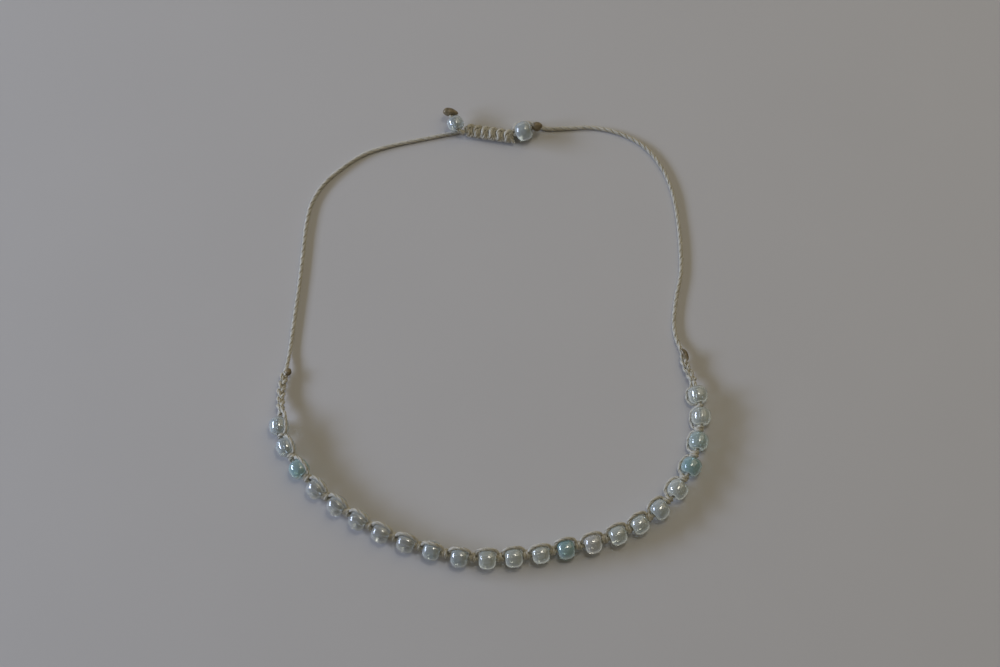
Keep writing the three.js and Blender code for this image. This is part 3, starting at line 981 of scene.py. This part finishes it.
class BRACELET_OT_side_cords(bpy.types.Operator):
    """Lay the two plain cords from the braids to the sliding knot"""

    bl_idname = "bracelet.side_cords"
    bl_label = "Side cords"

    def execute(self, context):
        cord = context.scene.bracelet_cord
        inside = unit(np.array(SLIDE_RIGHT) - np.array(SLIDE_LEFT))
        sides = {
            "left": (LEFT_CORD_ROUTE, np.array(SLIDE_LEFT) + SLIDE_REACH * inside),
            "right": (RIGHT_CORD_ROUTE, np.array(SLIDE_RIGHT) - SLIDE_REACH * inside),
        }
        for side, (route, core) in sides.items():
            points = np.array([BRAIDS[side]["route"][-1], *route, core]) + SHIFT
            line = smooth(points, cord.step)
            maker = Maker()
            lay_cord(maker, line, seed=21 if side == "left" else 22)
            piece = maker.build(f"cord_{side}", cord_material())
            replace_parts(piece, f"side_cord_{side}")
        return {"FINISHED"}


class BRACELET_OT_string(bpy.types.Operator):
    """Run the thread through the beads and knot the passing strand round it"""

    bl_idname = "bracelet.string"
    bl_label = "Thread and knots"

    def execute(self, context):
        cord = context.scene.bracelet_cord
        places = np.linspace(0.5, BEADS + 0.5, 6 * BEADS + 1)
        thread = [station(place)[0] for place in places]
        maker = Maker()
        lay_cord(maker, smooth(thread, cord.step), seed=31)
        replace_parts(maker.build("bead_thread", cord_material()), "knotted_cord")
        maker = Maker()
        lay_cord(maker, smooth(passing_strand(), cord.step), seed=32)
        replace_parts(maker.build("passing_strand", cord_material()), "knotted_cord")
        return {"FINISHED"}


class BRACELET_OT_braids(bpy.types.Operator):
    """Plait the ends of the string and melt the cut ends"""

    bl_idname = "bracelet.braids"
    bl_label = "End braids"

    def execute(self, context):
        for side, row in BRAIDS.items():
            maker = Maker()
            for k, line in enumerate(braid_lines(row["route"])):
                lay_cord(maker, line, seed=row["seed"] + k)
            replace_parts(maker.build(f"braid_{side}", cord_material()), "knotted_cord")
            top, below = np.array(row["route"][-1]), np.array(row["route"][-2])
            direction = unit(top - below) + np.array((row["lean"], 0, 0))
            middle = top + SHIFT + np.array(row["shift"]) * MM
            maker = Maker()
            add_lump(maker, middle, direction, np.array(row["size"]) * MM, row["seed"])
            lump = maker.build(f"cut_end_{side}", melted_material())
            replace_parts(lump, "knotted_cord")
        return {"FINISHED"}


class BRACELET_OT_sliding_knot(bpy.types.Operator):
    """Tie the row of square knots round the two core cords"""

    bl_idname = "bracelet.sliding_knot"
    bl_label = "Sliding knot"

    def execute(self, context):
        knots = context.scene.bracelet_knots
        left, right = np.array(SLIDE_LEFT) + SHIFT, np.array(SLIDE_RIGHT) + SHIFT
        length = np.linalg.norm(right - left)
        along = (right - left) / length
        side = unit(np.cross((0, 0, 1), along))
        up = np.cross(along, side)
        maker = Maker()
        places = np.linspace(-SLIDE["past"] * MM, length + SLIDE["past"] * MM, 12)
        for hand in (-1, 1):
            core = [left + along * s + side * hand * SLIDE["core"] * MM for s in places]
            lay_cord(maker, smooth(core, 0.3 * MM), seed=50 + hand)
        halves = 2 * knots.slide_knots
        pitch = (length - 0.3 * MM) / halves
        steps = 8
        dip = SLIDE["dip"] * MM
        for layer, seed in ((1, 61), (-1, 62)):
            points = []
            for k in range(halves * steps + 1):
                way = k / steps
                half = HALF_KNOTS[int(way) % 2]
                cross = -math.cos(math.pi * way) * layer
                raised = abs(math.sin(math.pi * way)) ** 0.75
                height = knots.slide_half_height * half["height"] * (1.0 if layer > 0 else LOWER_LAYER)
                rise = -dip + (height + dip) * raised
                stride = way + math.sin(2 * math.pi * way) / (2 * math.pi)
                s = (SLIDE["start"] * MM + pitch * stride + SLIDE["slant"] * cross**2 * MM
                     - half["back"] * MM * raised)
                place = left + along * s + side * cross * knots.slide_half_width + up * rise * layer
                points.append((*place, 1.0 + half["thicker"] * raised))
            lay_cord(maker, smooth(points, 0.2 * MM), seed=seed)
        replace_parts(maker.build("square_knots", cord_material()), "sliding_knot")
        return {"FINISHED"}


class BRACELET_OT_end_knots(bpy.types.Operator):
    """Run the cord ends through the stopper beads and melt them"""

    bl_idname = "bracelet.end_knots"
    bl_label = "Melted end knots"

    def execute(self, context):
        beads = context.scene.bracelet_beads
        for name, stopper in STOPPERS.items():
            middle = box_middle(f"stopper_bead_{name}")
            direction = stopper_direction(stopper)
            half = beads.length / 2
            melt = stopper["melt"]
            lump = middle + direction * (half + MELT_DISTANCE)
            points = [np.array(stopper["from"]) + SHIFT, middle - direction * half, middle,
                      middle + direction * half, lump]
            maker = Maker()
            lay_cord(maker, smooth(points, 0.2 * MM), seed=71 if name == "left" else 72)
            strand = maker.build(f"stopper_cord_{name}", cord_material())
            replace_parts(strand, f"end_knot_{name}")
            turn = math.radians(melt["heading"])
            maker = Maker()
            add_lump(maker, lump, (math.cos(turn), math.sin(turn), 0),
                     (melt["length"], MELT_WIDTH, MELT_HEIGHT), melt["seed"], melt["point"])
            ball = maker.build(f"melted_end_{name}", melted_material())
            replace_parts(ball, f"end_knot_{name}")
        return {"FINISHED"}


def stopper_direction(stopper):
    """The way that a stopper bead's hole points, away from the knot."""
    turn, tilt = math.radians(stopper["heading"]), math.radians(stopper["rise"])
    return np.array((math.cos(turn) * math.cos(tilt), math.sin(turn) * math.cos(tilt), math.sin(tilt)))


class BRACELET_OT_beads(bpy.types.Operator):
    """String the glass beads"""

    bl_idname = "bracelet.beads"
    bl_label = "Beads"

    def execute(self, context):
        for number in range(1, BEADS + 1):
            node = f"bead_{number:02d}"
            add_bead(f"glass_{node}", node, box_middle(node), station(number)[1],
                     TINTS.get(number, "pale"), 1.0, 100 + number)
        return {"FINISHED"}


class BRACELET_OT_stopper_beads(bpy.types.Operator):
    """Put the two stopper beads behind the sliding knot"""

    bl_idname = "bracelet.stopper_beads"
    bl_label = "Stopper beads"

    def execute(self, context):
        for seed, (name, stopper) in enumerate(STOPPERS.items()):
            node = f"stopper_bead_{name}"
            add_bead(f"glass_{node}", node, box_middle(node), stopper_direction(stopper), "milky",
                     stopper["size"], 140 + seed)
        return {"FINISHED"}


class BRACELET_PT_panel(bpy.types.Panel):
    """The bracelet's pieces"""

    bl_label = "Beaded bracelet"
    bl_idname = "BRACELET_PT_panel"
    bl_space_type = "VIEW_3D"
    bl_region_type = "UI"
    bl_category = "Bracelet"

    def draw(self, context):
        for operator in OPERATORS:
            self.layout.operator(operator.bl_idname)


OPERATORS = [
    BRACELET_OT_stage,
    BRACELET_OT_side_cords,
    BRACELET_OT_string,
    BRACELET_OT_braids,
    BRACELET_OT_sliding_knot,
    BRACELET_OT_end_knots,
    BRACELET_OT_beads,
    BRACELET_OT_stopper_beads,
]
SETTINGS = {
    "bracelet_cord": CordSettings,
    "bracelet_beads": BeadSettings,
    "bracelet_knots": KnotSettings,
    "bracelet_stage": StageSettings,
}


def register():
    for settings in SETTINGS.values():
        bpy.utils.register_class(settings)
    for operator in OPERATORS:
        bpy.utils.register_class(operator)
    bpy.utils.register_class(BRACELET_PT_panel)
    for name, settings in SETTINGS.items():
        setattr(bpy.types.Scene, name, bpy.props.PointerProperty(type=settings))


def unregister():
    for name in SETTINGS:
        delattr(bpy.types.Scene, name)
    bpy.utils.unregister_class(BRACELET_PT_panel)
    for operator in reversed(OPERATORS):
        bpy.utils.unregister_class(operator)
    for settings in reversed(list(SETTINGS.values())):
        bpy.utils.unregister_class(settings)


def main():
    register()
    bpy.ops.bracelet.stage()
    bpy.ops.bracelet.side_cords()
    bpy.ops.bracelet.string()
    bpy.ops.bracelet.braids()
    bpy.ops.bracelet.sliding_knot()
    bpy.ops.bracelet.end_knots()
    bpy.ops.bracelet.beads()
    bpy.ops.bracelet.stopper_beads()


if __name__ == "__main__":
    main()
